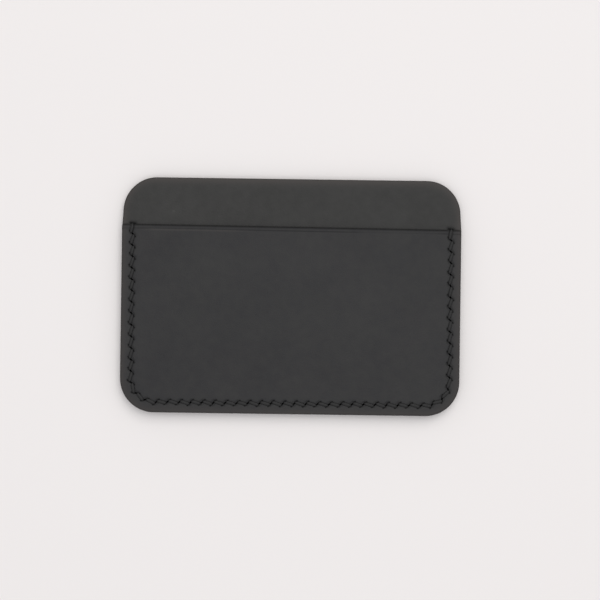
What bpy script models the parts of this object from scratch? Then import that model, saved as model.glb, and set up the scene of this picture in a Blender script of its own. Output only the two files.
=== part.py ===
"""Slim leather card holder: a centre panel with a sewn pocket on its front and on its rear.

Run it with:  blender --background --python part.py

Units are metres. The holder lies flat with its front up. +X runs across it, +Y runs towards
its top edge and +Z points out of its front. The origin is the middle of its outline, at the
height of the rear pocket's outer face, on which it rests.
"""

import math

import bmesh
import bpy
from mathutils import Matrix, Vector

MM = 0.001

# Driving dimensions
HOLDER_WIDTH = 99.5 * MM
HOLDER_HEIGHT = 69.0 * MM
CORNER_RADIUS = 10.0 * MM
POCKET_HEIGHT = 54.9 * MM  # from the bottom edge up to a pocket's mouth
LEATHER = 1.0 * MM  # thickness of each of the three panels
EDGE_ROUNDING = 0.25 * MM  # burnished edge of a panel
CARD_WIDTH = 85.6 * MM  # an ID-1 card
CARD_THICKNESS = 0.76 * MM
CARD_CLEARANCE = 0.14 * MM  # free space above a card in its pocket

# Seam
SEAM_INSET = 3.1 * MM  # from the holder's edge to the line of stitches
SEAM_GAP = 0.3 * MM  # between two panels where they are cemented and sewn
STITCH_PITCH = 3.38 * MM  # spacing of the teeth of the pricking iron
SLIT_ANGLE = math.radians(45)  # between a slit and the line of stitches
FIRST_HOLE_RISE = 0.75 * MM  # how far the seam's end holes lie above a mouth
GROOVE_WIDTH = 2.7 * MM  # of the floor of the channel that the stitches press into a pocket
GROOVE_WALL = 0.3 * MM  # how far the channel's outer wall slopes
GROOVE_DEPTH = 0.25 * MM
CEMENT_THICKNESS = 0.1 * MM
CEMENT_EDGE_INSET = 0.4 * MM  # the cement stops short of the burnished edge

# Thread
THREAD_DIAMETER = 0.6 * MM
THREAD_CLEARANCE = 0.15 * MM  # between the thread and the leather round it
PASS_OFFSET = 0.68 * MM  # of each of the two threads in a slit, from the slit's middle
THREAD_BEND = 0.3 * MM  # length of the chamfer where the thread turns into a slit

# A pocket lies flat on the seam, then rises to give a card room
RISE_START = SEAM_INSET + GROOVE_WIDTH / 2
RISE_END = 6.6 * MM

CORNER_STEPS = 8
RISE_STEPS = 4
BEVEL_SEGMENTS = 2
BEVEL_ABOVE_ANGLE = math.radians(60)
CUT_MARGIN = 1.0 * MM  # how far a cutter reaches past what it cuts

# Worked out from the dimensions above
MOUTH_Y = POCKET_HEIGHT - HOLDER_HEIGHT / 2
CORNER_X = HOLDER_WIDTH / 2 - CORNER_RADIUS
CORNER_Y = HOLDER_HEIGHT / 2 - CORNER_RADIUS
POCKET_ROOM = CARD_THICKNESS + CARD_CLEARANCE
POCKET_RISE = POCKET_ROOM - SEAM_GAP
MIDDLE_Z = LEATHER + POCKET_ROOM + LEATHER / 2
SEAM_FACE = LEATHER / 2 + SEAM_GAP  # height of a pocket's inner face over the middle, at the seam
GROOVE_FLOOR = SEAM_FACE + LEATHER - GROOVE_DEPTH
THREAD_HEIGHT = GROOVE_FLOOR + THREAD_CLEARANCE + THREAD_DIAMETER / 2
SLIT_LENGTH = 2 * (PASS_OFFSET + THREAD_DIAMETER / 2 + THREAD_CLEARANCE)
SLIT_WIDTH = THREAD_DIAMETER + 2 * THREAD_CLEARANCE


def clear_scene():
    for obj in list(bpy.data.objects):
        bpy.data.objects.remove(obj)


def new_collection(name):
    collection = bpy.data.collections.new(name)
    bpy.context.scene.collection.children.link(collection)
    return collection


def material(name, colour, roughness):
    made = bpy.data.materials.new(name)
    made.use_nodes = True
    shader = made.node_tree.nodes["Principled BSDF"]
    shader.inputs["Base Color"].default_value = (*colour, 1.0)
    shader.inputs["Roughness"].default_value = roughness
    shader.inputs["Metallic"].default_value = 0.0
    return made


def corner_arc(centre_x, centre_y, radius, start_degrees):
    """Points of a quarter circle that turns anticlockwise from start_degrees."""
    angles = [math.radians(start_degrees + 90 * i / CORNER_STEPS) for i in range(CORNER_STEPS + 1)]
    return [(centre_x + radius * math.cos(a), centre_y + radius * math.sin(a)) for a in angles]


def u_line(inset, top_y):
    """A U inset from the holder's edge: down its left side, along its bottom and up its right side."""
    radius = CORNER_RADIUS - inset
    side = HOLDER_WIDTH / 2 - inset
    left = corner_arc(-CORNER_X, -CORNER_Y, radius, 180)
    right = corner_arc(CORNER_X, -CORNER_Y, radius, 270)
    return [(-side, top_y), *left, *right, (side, top_y)]


def full_outline():
    """The centre panel's outline, a rectangle with four round corners."""
    corners = ((1, -1, 270), (1, 1, 0), (-1, 1, 90), (-1, -1, 180))
    points = []
    for sign_x, sign_y, start in corners:
        points += corner_arc(sign_x * CORNER_X, sign_y * CORNER_Y, CORNER_RADIUS, start)
    return points


def u_strip(outer_inset, inner_inset, top_y):
    """The outline of a U-shaped strip between two insets."""
    return u_line(outer_inset, top_y) + u_line(inner_inset, top_y)[::-1]


def flat_piece(name, outline, low_z, high_z, collection):
    """A plate cut to an outline, as a mesh between two heights over the holder's middle."""
    curve = bpy.data.curves.new(name + "_outline", "CURVE")
    curve.dimensions = "2D"
    curve.fill_mode = "BOTH"
    curve.extrude = (high_z - low_z) / 2
    spline = curve.splines.new("POLY")
    spline.points.add(len(outline) - 1)
    for point, (x, y) in zip(spline.points, outline):
        point.co = (x, y, 0.0, 1.0)
    spline.use_cyclic_u = True
    drawn = bpy.data.objects.new(name + "_outline", curve)
    drawn.location.z = MIDDLE_Z + (low_z + high_z) / 2
    collection.objects.link(drawn)

    bpy.context.view_layer.update()
    evaluated = drawn.evaluated_get(bpy.context.evaluated_depsgraph_get())
    mesh = bpy.data.meshes.new_from_object(evaluated)
    mesh.name = name
    welded = bmesh.new()
    welded.from_mesh(mesh)
    bmesh.ops.remove_doubles(welded, verts=welded.verts, dist=0.001 * MM)
    welded.to_mesh(mesh)
    welded.free()
    plate = bpy.data.objects.new(name, mesh)
    plate.matrix_world = drawn.matrix_world
    collection.objects.link(plate)
    bpy.data.objects.remove(drawn)
    return plate


def round_edges(obj):
    bevel = obj.modifiers.new("burnished_edges", "BEVEL")
    bevel.width = EDGE_ROUNDING
    bevel.segments = BEVEL_SEGMENTS
    bevel.limit_method = "ANGLE"
    bevel.angle_limit = BEVEL_ABOVE_ANGLE


def cut(obj, cutter):
    boolean = obj.modifiers.new("cut_by_" + cutter.name, "BOOLEAN")
    boolean.operation = "DIFFERENCE"
    boolean.object = cutter


def as_cutter(obj):
    obj.hide_render = True
    obj.display_type = "WIRE"
    return obj


def rise_at(share):
    """Height of a pocket over its seam, from 0 at the start of its slope to POCKET_RISE at the end."""
    return POCKET_RISE * (1 - math.cos(math.pi * share)) / 2


def pocket_rows():
    """A pocket's section, from its edge inwards, as (inset, height of its inner face, leather left)."""
    pressed = 1 - GROOVE_DEPTH / LEATHER
    groove_start = SEAM_INSET - GROOVE_WIDTH / 2
    rows = [(0.0, 0.0, 1.0), (groove_start - GROOVE_WALL, 0.0, 1.0), (groove_start, 0.0, pressed)]
    rows.append((RISE_START, 0.0, pressed))
    for step in range(1, RISE_STEPS + 1):
        share = step / RISE_STEPS
        rows.append((RISE_START + share * (RISE_END - RISE_START), rise_at(share), 1.0))
    return rows


def pocket(name, side, collection):
    """A pocket on the front (side 1) or the rear (side -1).

    Its inner face is an open surface, which Solidify gives its thickness. The vertex group
    holds how much of the leather the stitches leave at each point.
    """
    surface = bmesh.new()
    rows = pocket_rows()
    lines = []
    for inset, rise, _ in rows:
        points = u_line(inset, MOUTH_Y)
        lines.append([surface.verts.new((x, y, side * (SEAM_FACE + rise))) for x, y in points])
    for outer, inner in zip(lines, lines[1:]):
        for i in range(len(outer) - 1):
            surface.faces.new((outer[i], outer[i + 1], inner[i + 1], inner[i]))
    surface.faces.new(lines[-1])
    if side < 0:
        bmesh.ops.reverse_faces(surface, faces=surface.faces)
    mesh = bpy.data.meshes.new(name)
    surface.to_mesh(mesh)
    surface.free()

    obj = bpy.data.objects.new(name, mesh)
    obj.location.z = MIDDLE_Z
    collection.objects.link(obj)
    leather_left = obj.vertex_groups.new(name="leather_left")
    line_length = len(lines[0])
    for row, (_, _, left) in enumerate(rows):
        leather_left.add(range(row * line_length, (row + 1) * line_length), left, "REPLACE")
    thickness = obj.modifiers.new("leather", "SOLIDIFY")
    thickness.thickness = LEATHER
    thickness.offset = 1.0
    thickness.use_even_offset = True
    thickness.vertex_group = leather_left.name
    round_edges(obj)
    return obj


def seam_holes():
    """Every stitch hole as (middle, direction of travel), from the left mouth round to the right one."""
    radius = CORNER_RADIUS - SEAM_INSET
    side = HOLDER_WIDTH / 2 - SEAM_INSET
    bottom = -HOLDER_HEIGHT / 2 + SEAM_INSET
    start_y = MOUTH_Y + FIRST_HOLE_RISE
    side_length = start_y + CORNER_Y
    arc_length = radius * math.pi / 2
    bottom_length = 2 * CORNER_X
    whole = 2 * side_length + 2 * arc_length + bottom_length
    stitches = round(whole / STITCH_PITCH)

    def at(distance):
        if distance <= side_length:
            return Vector((-side, start_y - distance)), Vector((0, -1))
        distance -= side_length
        if distance <= arc_length:
            a = math.pi + distance / radius
            middle = Vector((-CORNER_X + radius * math.cos(a), -CORNER_Y + radius * math.sin(a)))
            return middle, Vector((-math.sin(a), math.cos(a)))
        distance -= arc_length
        return Vector((-CORNER_X + distance, bottom)), Vector((1, 0))

    holes = []
    for i in range(stitches + 1):
        distance = whole * i / stitches
        if distance <= whole / 2:
            holes.append(at(distance))
        else:
            # The right half mirrors the left one, travelled the other way.
            middle, travel = at(whole - distance)
            holes.append((Vector((-middle.x, middle.y)), Vector((travel.x, -travel.y))))
    return holes


def slit_direction(travel):
    """Along a slit, which leans from the direction of travel towards the pocket's field."""
    return Matrix.Rotation(SLIT_ANGLE, 2) @ travel


def slit_cutter(name, holes, collection):
    """One box for each slit, through the whole holder."""
    boxes = bmesh.new()
    reach = 2 * (THREAD_HEIGHT + CUT_MARGIN)
    for middle, travel in holes:
        along = slit_direction(travel)
        turn = Matrix.Rotation(math.atan2(along.y, along.x), 4, "Z")
        place = Matrix.Translation((middle.x, middle.y, MIDDLE_Z)) @ turn
        size = Matrix.Diagonal((SLIT_LENGTH, SLIT_WIDTH, reach, 1.0))
        bmesh.ops.create_cube(boxes, size=1.0, matrix=place @ size)
    mesh = bpy.data.meshes.new(name)
    boxes.to_mesh(mesh)
    boxes.free()
    obj = bpy.data.objects.new(name, mesh)
    collection.objects.link(obj)
    return as_cutter(obj)


def thread_corners(holes):
    """The thread's turning points, from one end at the right mouth to the other.

    In saddle stitch one thread is sewn with both of its ends. Its middle is in the first hole.
    Between two holes, one end lies on the front and the other on the rear, and they change
    over at every hole. On the front, a stitch leaves the end of a slit that leads and enters
    the end of the next slit that trails, which makes the stitches slant against the slits.
    """
    last = len(holes) - 1

    def ahead(i):
        middle, travel = holes[i]
        shift = PASS_OFFSET if 0 < i < last else 0.0
        return middle + slit_direction(travel) * shift

    def behind(i):
        return 2 * holes[i][0] - ahead(i)

    def point(place, side):
        return Vector((place.x, place.y, MIDDLE_Z + side * THREAD_HEIGHT))

    def half(first):
        """Turning points of one end of the thread, which lies on side `first` after the first hole."""
        side = first
        points = []
        for i in range(last):
            # A front stitch runs from ahead(i) to behind(i + 1), a rear one from behind(i) to ahead(i + 1).
            start, end = (ahead(i), behind(i + 1)) if side > 0 else (behind(i), ahead(i + 1))
            points += [point(start, side), point(end, side)]
            side = -side
        return points, side

    front_first, ends_on = half(1)
    rear_first, _ = half(-1)
    # The end that arrives on the front goes down through the last hole. The other one arrives
    # on the rear and is trimmed just short of it.
    down = point(holes[last][0], ends_on)
    short_of_hole = (rear_first[-2] - rear_first[-1]).normalized() * 2 * THREAD_DIAMETER
    rear_first[-1] = rear_first[-1] + short_of_hole
    return [down, *front_first[::-1], *rear_first]


def chamfered(corners):
    """The path with each turning point replaced by two, so that the tube keeps its thickness."""
    path = [corners[0]]
    for before, corner, after in zip(corners, corners[1:], corners[2:]):
        path.append(corner + (before - corner).normalized() * THREAD_BEND)
        path.append(corner + (after - corner).normalized() * THREAD_BEND)
    path.append(corners[-1])
    return path


def thread(name, holes, collection):
    curve = bpy.data.curves.new(name, "CURVE")
    curve.dimensions = "3D"
    curve.bevel_depth = THREAD_DIAMETER / 2
    curve.bevel_resolution = 2
    curve.use_fill_caps = True
    path = chamfered(thread_corners(holes))
    spline = curve.splines.new("POLY")
    spline.points.add(len(path) - 1)
    for spline_point, place in zip(spline.points, path):
        spline_point.co = (*place, 1.0)
    obj = bpy.data.objects.new(name, curve)
    collection.objects.link(obj)
    return obj


def cement(name, side, collection):
    """The film that holds a pocket to the centre panel under the seam."""
    middle = side * (LEATHER + SEAM_GAP) / 2
    heights = (middle - CEMENT_THICKNESS / 2, middle + CEMENT_THICKNESS / 2)
    strip = u_strip(CEMENT_EDGE_INSET, RISE_START, MOUTH_Y - CEMENT_EDGE_INSET)
    return flat_piece(name, strip, *heights, collection)


def finish(obj, surface):
    obj.data.materials.clear()
    obj.data.materials.append(surface)
    if obj.type == "MESH":
        obj.data.shade_smooth()
        obj.data.set_sharp_from_angle(angle=math.radians(30))


def build():
    assert RISE_END <= (HOLDER_WIDTH - CARD_WIDTH) / 2, "a card has to fit between the slopes"
    clear_scene()
    parts = new_collection("card_holder")
    cutters = new_collection("cutters")
    leather = material("black_leather", (0.030, 0.030, 0.032), 0.55)
    waxed_thread = material("waxed_black_thread", (0.012, 0.012, 0.013), 0.45)
    dry_cement = material("dried_contact_cement", (0.050, 0.040, 0.026), 0.60)

    holes = seam_holes()
    all_slits = slit_cutter("all_slits", holes, cutters)
    pocket_slits = slit_cutter("pocket_slits", holes[1:-1], cutters)

    centre = flat_piece("centre_panel", full_outline(), -LEATHER / 2, LEATHER / 2, parts)
    round_edges(centre)
    cut(centre, all_slits)
    finish(centre, leather)

    for name, side in (("front", 1), ("rear", -1)):
        panel = pocket(name + "_pocket", side, parts)
        cut(panel, pocket_slits)
        finish(panel, leather)
        film = cement(name + "_seam_cement", side, parts)
        cut(film, pocket_slits)
        finish(film, dry_cement)

    finish(thread("saddle_stitch_thread", holes, parts), waxed_thread)


build()
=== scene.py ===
# %% [markdown]
# # A slim leather card holder
#
# Three leather panels make this holder. A tall one stands in the middle, and a shorter pocket
# lies on its front and on its rear. Cement holds them along three sides, and one waxed thread is
# sewn through all three with both of its ends. This lesson makes each piece as the maker did:
# cut the leather, prick the slits, press the seam, sew it, and finish the edges.
#
# Everything is in metres, in the frame of the plain model that is loaded first. +X runs across
# the holder, +Y runs towards its top edge, and +Z comes out of its front.

# %% Load the plain model as a fixed frame
import math
import random

import bpy
import numpy as np
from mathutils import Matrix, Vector
from mathutils.geometry import delaunay_2d_cdt


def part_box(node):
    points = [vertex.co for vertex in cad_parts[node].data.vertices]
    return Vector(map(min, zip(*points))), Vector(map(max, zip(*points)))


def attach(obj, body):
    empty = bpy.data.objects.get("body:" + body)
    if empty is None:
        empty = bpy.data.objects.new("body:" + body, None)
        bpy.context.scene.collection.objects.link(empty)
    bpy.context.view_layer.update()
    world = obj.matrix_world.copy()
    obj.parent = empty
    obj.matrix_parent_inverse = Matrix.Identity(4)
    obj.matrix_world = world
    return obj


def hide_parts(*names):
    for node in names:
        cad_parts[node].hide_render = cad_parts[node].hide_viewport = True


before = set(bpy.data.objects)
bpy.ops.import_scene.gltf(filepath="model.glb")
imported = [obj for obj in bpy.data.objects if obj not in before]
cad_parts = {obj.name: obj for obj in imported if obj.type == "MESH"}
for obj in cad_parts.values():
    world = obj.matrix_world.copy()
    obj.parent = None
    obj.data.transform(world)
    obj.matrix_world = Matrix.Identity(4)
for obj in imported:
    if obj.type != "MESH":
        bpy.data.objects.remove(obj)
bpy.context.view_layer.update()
MM = 0.001


def mm(*lengths):
    """Several lengths in millimetres, as a list in metres."""
    return [length * MM for length in lengths]


# %% [markdown]
# ## The panels' sizes
#
# The outline, the mouth and the heights come from the plain model. The corners, the seam and the
# leather are the maker's own settings: a 10 mm corner punch, a seam line marked 3.1 mm from the
# edge, and an iron that pricks a slit every 3.38 mm.

# %% Sizes
panel_low, panel_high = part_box("centre_panel")
pocket_low, pocket_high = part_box("front_pocket")
HALF_WIDTH = panel_high.x
HALF_HEIGHT = panel_high.y
MOUTH_TRIMMED = 0.2 * MM  # what cutting and sanding took off the pockets' top edge
MOUTH_Y = pocket_high.y - MOUTH_TRIMMED
MOUTH_TILT = -0.0055  # the maker's cut runs a third of a degree out of true
PANEL_TOP = panel_high.z
PANEL_BOTTOM = panel_low.z
MIDDLE_Z = (PANEL_TOP + PANEL_BOTTOM) / 2
LEATHER = PANEL_TOP - PANEL_BOTTOM
FIELD_HEIGHT = pocket_high.z - PANEL_TOP  # of a pocket's field over the tall panel

CORNER_RADIUS = 10.0 * MM
SEAM_INSET = 3.1 * MM
STITCH_PITCH = 3.38 * MM
FIRST_HOLE_RISE = 0.55 * MM  # of the seam's ends over the mouth
SLIT_ANGLE = math.radians(40)
SEAM_GAP = 0.1 * MM  # the cement line between two panels, pressed almost shut
print(f"outline {2000 * HALF_WIDTH:.1f} x {2000 * HALF_HEIGHT:.1f} mm, mouth at {1000 * MOUTH_Y:.1f} mm")

# %% [markdown]
# ## The stitch holes
#
# A pricking iron with slanted teeth is stepped along the seam line, from one mouth round to the
# other. The line could be a curve object that is sampled for its points. It is only two straight
# sides, two quarter circles and a bottom, so a formula is shorter and exact.
#
# A hand never steps the iron quite evenly. Here the steps fell up to 0.65 mm short on the left
# side and had nearly caught up on the right one, and each slit is also a few hundredths of a
# millimetre off its place. Sewing opens a slit round the thread at both its ends, and between
# them it springs half shut. The two end slits lie flatter, just over the mouth, where the thread
# wraps over the pockets' edge. The thread has pulled them into a dimple and closed them.

# %% The seam line and its slits
THREAD_RADIUS = 0.33 * MM
PASS_OFFSET = 0.56 * MM  # of each pass of the thread from its slit's middle
SLIT_HALF_WIDTH = 0.34 * MM  # round each pass of the thread
SLIT_WAIST = 0.23 * MM  # half the width between the two passes, where the cut springs shut
CUT_REACH = 1.18 * MM  # the tooth's cut runs on past the part that the thread keeps open
END_HOLE_REACH = 0.04 * MM  # an end slit has closed round its thread
END_HOLE_SQUEEZE = 0.09 * MM  # so tight that no light comes past it
END_MARK_REACH = 0.65 * MM  # and the rest of its cut is a dimple
END_MARK_RISE = 0.18 * MM  # over the hole, which the thread has pulled down to the mouth
END_HOLE_RISE = 0.30 * MM  # over the mouth
HAND_ERROR = 0.07 * MM
HAND_ANGLE_ERROR = math.radians(5.0)
END_SLIT_TURN = math.radians(38)  # the two end slits are pricked flatter, along the mouth
HAND_SEED = 11
LEFT_DRIFT, RIGHT_DRIFT = 0.05 * MM, -0.1 * MM  # of the marked line, inwards from SEAM_INSET
# How far each slit sits back from an even step, at these shares of the seam's length
STEP_SHARES = (0.0, 0.12, 0.32, 0.43, 0.58, 0.67, 0.8, 1.0)
STEP_ERRORS = mm(0.4, 0.65, 0.4, 0.35, 0.12, 0.25, 0.08, 0.3)


def seam_point(distance, side_length, arc_length):
    """A point of the seam's left half, and the direction of travel there."""
    radius = CORNER_RADIUS - SEAM_INSET
    centre = Vector((CORNER_RADIUS - HALF_WIDTH, CORNER_RADIUS - HALF_HEIGHT))
    if distance <= side_length:
        return Vector((SEAM_INSET - HALF_WIDTH, centre.y + side_length - distance)), Vector((0, -1))
    distance -= side_length
    if distance <= arc_length:
        turn = math.pi + distance / radius
        place = centre + radius * Vector((math.cos(turn), math.sin(turn)))
        return place, Vector((-math.sin(turn), math.cos(turn)))
    return Vector((centre.x + distance - arc_length, SEAM_INSET - HALF_HEIGHT)), Vector((1, 0))


def pricked_slits():
    """Each slit as (middle, direction along it, reach), from the left mouth round to the right.

    reach is how far each end of the straight part of the slit is from its middle.
    """
    hand = random.Random(HAND_SEED)
    side_length = MOUTH_Y + FIRST_HOLE_RISE + HALF_HEIGHT - CORNER_RADIUS
    arc_length = (CORNER_RADIUS - SEAM_INSET) * math.pi / 2
    whole = 2 * (side_length + arc_length + HALF_WIDTH - CORNER_RADIUS)
    stitches = round(whole / STITCH_PITCH)
    slits = []
    for i in range(stitches + 1):
        distance = whole * i / stitches
        distance = max(0.0, distance - np.interp(distance / whole, STEP_SHARES, STEP_ERRORS))
        mirrored = distance > whole / 2
        middle, travel = seam_point(whole - distance if mirrored else distance, side_length, arc_length)
        if mirrored:
            middle = Vector((-middle.x, middle.y))
            travel = Vector((travel.x, -travel.y))
        inwards = Vector((-travel.y, travel.x))
        drift = LEFT_DRIFT * max(0.0, -travel.y) + RIGHT_DRIFT * max(0.0, travel.y)
        middle = middle + inwards * (drift + hand.uniform(-1, 1) * HAND_ERROR)
        middle = middle + travel * hand.uniform(-1, 1) * HAND_ERROR
        turn = SLIT_ANGLE + hand.uniform(-1, 1) * HAND_ANGLE_ERROR
        reach = PASS_OFFSET
        if i in (0, stitches):
            turn += END_SLIT_TURN
            reach = END_HOLE_REACH
            middle.y = MOUTH_Y + MOUTH_TILT * middle.x + END_HOLE_RISE
        along = travel * math.cos(turn) + inwards * math.sin(turn)
        slits.append((middle, along, reach))
    return slits


slits = pricked_slits()
pocket_slits = slits[1:-1]
print(len(slits), "slits,", len(slits) - 1, "stitches")

# %% [markdown]
# Each slit holds two passes of the thread, one at either end. On the front a stitch leaves the
# end that leads and enters the trailing end of the next slit, so it slants against the slits. On
# the rear it is the other way round, and the stitches are longer and lie flatter.

# %% Where the thread passes through
def leading(i):
    middle, along, reach = slits[i]
    return middle + along * reach


def trailing(i):
    middle, along, reach = slits[i]
    return middle - along * reach


def stitch_ends(i, side):
    """Where the stitch after hole i starts and ends, on the front (side 1) or the rear (side -1)."""
    last = len(slits) - 1
    if side > 0:
        start, end = leading(i), trailing(i + 1)
    else:
        start, end = trailing(i), leading(i + 1)
    if i == 0:
        start = slits[0][0]
    if i == last - 1:
        end = slits[last][0]
    return start, end


# %% [markdown]
# ## Cutting leather
#
# A panel could be a plane with a Solidify and a Bevel modifier, with its slits cut by a Boolean.
# That leaves long thin triangles, which can't be pressed into a dimple round each stitch. Here the
# flat shape is triangulated instead, with Blender's Delaunay function: it takes the outline, the
# slits as holes, and any points inside, close together where the leather needs fine detail and
# far apart in the flat field. Then a formula gives each point its height.

# %% Flat shapes
OUTLINE_GAP = 0.5 * MM  # between the points of an outline
HOLE_CLEAR = 0.04 * MM  # no inner point lies nearer to a hole
CLOSEST = 0.045 * MM  # or nearer to another point
ROUND_POINTS = 8  # on each round end of a hole


def u_line(inset, top_y, gap):
    """Points every gap or so along a U inset from the edge, from its top left to its top right."""
    radius = CORNER_RADIUS - inset
    down = top_y + HALF_HEIGHT - CORNER_RADIUS
    half = down + radius * math.pi / 2 + HALF_WIDTH - CORNER_RADIUS
    s = np.linspace(0, half, max(3, round(half / gap)))
    turn = math.pi + np.clip((s - down) / radius, 0, math.pi / 2)
    x = CORNER_RADIUS - HALF_WIDTH + radius * np.cos(turn)
    x = x + np.maximum(0, s - down - radius * math.pi / 2)
    y = CORNER_RADIUS - HALF_HEIGHT + radius * np.sin(turn) + np.maximum(0, down - s)
    left = np.column_stack((x, y))
    right = left[-2::-1] * (-1, 1)
    return np.vstack((left, right))


def closed_outline(inset, gap):
    """The tall panel's outline, inset from its edge: two U lines back to back."""
    lower = u_line(inset, 0.0, gap)
    upper = lower[::-1] * (1, -1)
    return np.vstack((lower, upper[1:-1]))


def mouth_line(offset, gap, inset=0.0):
    """Points along the pockets' mouth, from right to left, this far under it."""
    x = np.linspace(HALF_WIDTH - inset, inset - HALF_WIDTH, round(2 * HALF_WIDTH / gap))
    return np.column_stack((x, MOUTH_Y + MOUTH_TILT * x - offset))


def grid(x_low, x_high, y_low, y_high, gap):
    """Points in rows, every other row shifted by half a gap."""
    points = []
    rows = np.arange(y_low, y_high, gap * math.sqrt(3) / 2)
    for k, y in enumerate(rows):
        x = np.arange(x_low + (k % 2) * gap / 2, x_high, gap)
        points.append(np.column_stack((x, np.full(len(x), y))))
    return np.vstack(points)


def slit_outline(middle, along, reach, grow=0.0):
    """A long hole with round ends, anticlockwise. It has a waist if it holds two passes."""
    radius = SLIT_HALF_WIDTH + grow
    waist = (SLIT_WAIST if reach == PASS_OFFSET else SLIT_HALF_WIDTH) + grow
    across = Vector((-along.y, along.x))
    points = []
    for end in (1, -1):
        for k in range(ROUND_POINTS):
            turn = -math.pi / 2 + math.pi * k / (ROUND_POINTS - 1)
            onwards = along * (reach + radius * math.cos(turn))
            points.append(middle + end * (onwards + across * radius * math.sin(turn)))
        for k in (1, 2):
            points.append(middle + end * (across * waist + along * reach * (1 - 2 * k / 3)))
    return np.array(points)


def thinned(points, keep_away, gap):
    """The points that are at least gap from each other and from keep_away. Earlier ones win."""
    cells = {}

    def taken(p):
        cx, cy = int(p[0] // gap), int(p[1] // gap)
        for ix in (cx - 1, cx, cx + 1):
            for iy in (cy - 1, cy, cy + 1):
                for q in cells.get((ix, iy), ()):
                    if (p[0] - q[0]) ** 2 + (p[1] - q[1]) ** 2 < gap * gap:
                        return True
        return False

    def put(p):
        cells.setdefault((int(p[0] // gap), int(p[1] // gap)), []).append(p)

    for p in keep_away:
        put(p)
    kept = []
    for p in points:
        if not taken(p):
            put(p)
            kept.append(p)
    return np.array(kept)


# %% [markdown]
# Heights depend on how far a point is from something: the edge, the mouth, a slit or a stitch. So
# each of these distances has its own function, which takes all the points at once as an array.

# %% Distances
NO_EFFECT = 6 * MM  # a slit or a stitch changes nothing farther off than this


def edge_distance(p):
    """How far inside the tall panel's outline each point is."""
    past = np.abs(p) - (HALF_WIDTH - CORNER_RADIUS, HALF_HEIGHT - CORNER_RADIUS)
    outside = np.hypot(np.maximum(past[:, 0], 0), np.maximum(past[:, 1], 0))
    return CORNER_RADIUS - outside - np.minimum(np.maximum(past[:, 0], past[:, 1]), 0)


def u_distance(p):
    """How far inside the pocket's sewn sides and bottom each point is. Its mouth doesn't count."""
    return edge_distance(np.column_stack((p[:, 0], np.minimum(p[:, 1], 0))))


def mouth_distance(p):
    """How far under the mouth each point is."""
    return MOUTH_Y + MOUTH_TILT * p[:, 0] - p[:, 1]


def segment_distance(p, starts, ends):
    """How far each point is from the nearest of several line segments."""
    best = np.full(len(p), 1.0)
    for a, b in zip(starts, ends):
        a, b = np.array(a[:2]), np.array(b[:2])
        near = np.abs(p - (a + b) / 2).max(axis=1) < NO_EFFECT
        q = p[near]
        share = np.clip((q - a) @ (b - a) / ((b - a) @ (b - a)), 0, 1)
        gap = q - (a + share[:, None] * (b - a))
        best[near] = np.minimum(best[near], np.hypot(gap[:, 0], gap[:, 1]))
    return best


def line_distance(p, chosen):
    """How far each point is from the nearest of the chosen slits' middle lines."""
    starts = [middle - along * reach for middle, along, reach in chosen]
    ends = [middle + along * reach for middle, along, reach in chosen]
    return segment_distance(p, starts, ends)


def slit_distance(p, chosen):
    """How far outside the nearest of the chosen slits each point is."""
    return line_distance(p, chosen) - SLIT_HALF_WIDTH


def cut_distance(p):
    """How far each point is from the nearest line that a tooth of the iron has cut."""
    return line_distance(p, [(middle, along, CUT_REACH) for middle, along, _ in pocket_slits])


def smooth(x, low, high):
    """0 below low, 1 above high, and a smooth step between them."""
    t = np.clip((x - low) / (high - low), 0, 1)
    return t * t * (3 - 2 * t)


def rounding(distance, radius):
    """How far a round edge drops at each distance from the edge."""
    left = np.clip(radius - distance, 0, radius)
    return radius - np.sqrt(np.maximum(radius * radius - left * left, 0))


# %% [markdown]
# ## From flat shape to leather
#
# A panel has two faces and a wall round its outline and round each slit. Both faces share the
# outline and the slits point for point, so the walls are plain strips between them, and the piece
# is one closed body that could be weighed or printed.

# %% Building a closed panel
SHARP_ANGLE = math.radians(50)


def new_piece(name, points, faces):
    """A mesh object that is linked to the scene."""
    mesh = bpy.data.meshes.new(name)
    mesh.from_pydata(points, [], faces)
    piece = bpy.data.objects.new(name, mesh)
    bpy.context.scene.collection.objects.link(piece)
    return piece


def triangles_between(loops, inner):
    """The flat area inside loops[0] and outside the other loops, as points and triangles.

    The points come back with the loops' own points first, in their order, then the inner ones.
    """
    points = np.vstack([*loops, inner])
    loop_of = np.repeat(np.arange(len(loops) + 1), [*map(len, loops), len(inner)])
    edges = []
    start = 0
    for loop in loops:
        count = len(loop)
        edges += [(start + k, start + (k + 1) % count) for k in range(count)]
        start += count
    found = delaunay_2d_cdt([Vector(p) for p in points / MM], edges, [], 1, 0.0, True)
    back = np.array([origin[0] for origin in found[3]])
    assert len(set(back)) == len(back) == len(points), "points were merged"
    triangles = back[np.array(found[2])]
    # The function fills the slits and any hollow of the outline too. Every loop runs
    # anticlockwise, and so does every triangle. So where a triangle has all its points on one
    # loop, it is inside that loop when its points come in the loop's own order.
    a, b, c = triangles.T
    in_order = ((a < b) & (b < c)) | ((b < c) & (c < a)) | ((c < a) & (a < b))
    a, b, c = loop_of[triangles].T
    on_one_loop = (a == b) & (b == c) & (a < len(loops))
    wanted = np.where(a == 0, in_order, ~in_order)
    return points, triangles[~on_one_loop | wanted].tolist()


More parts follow.
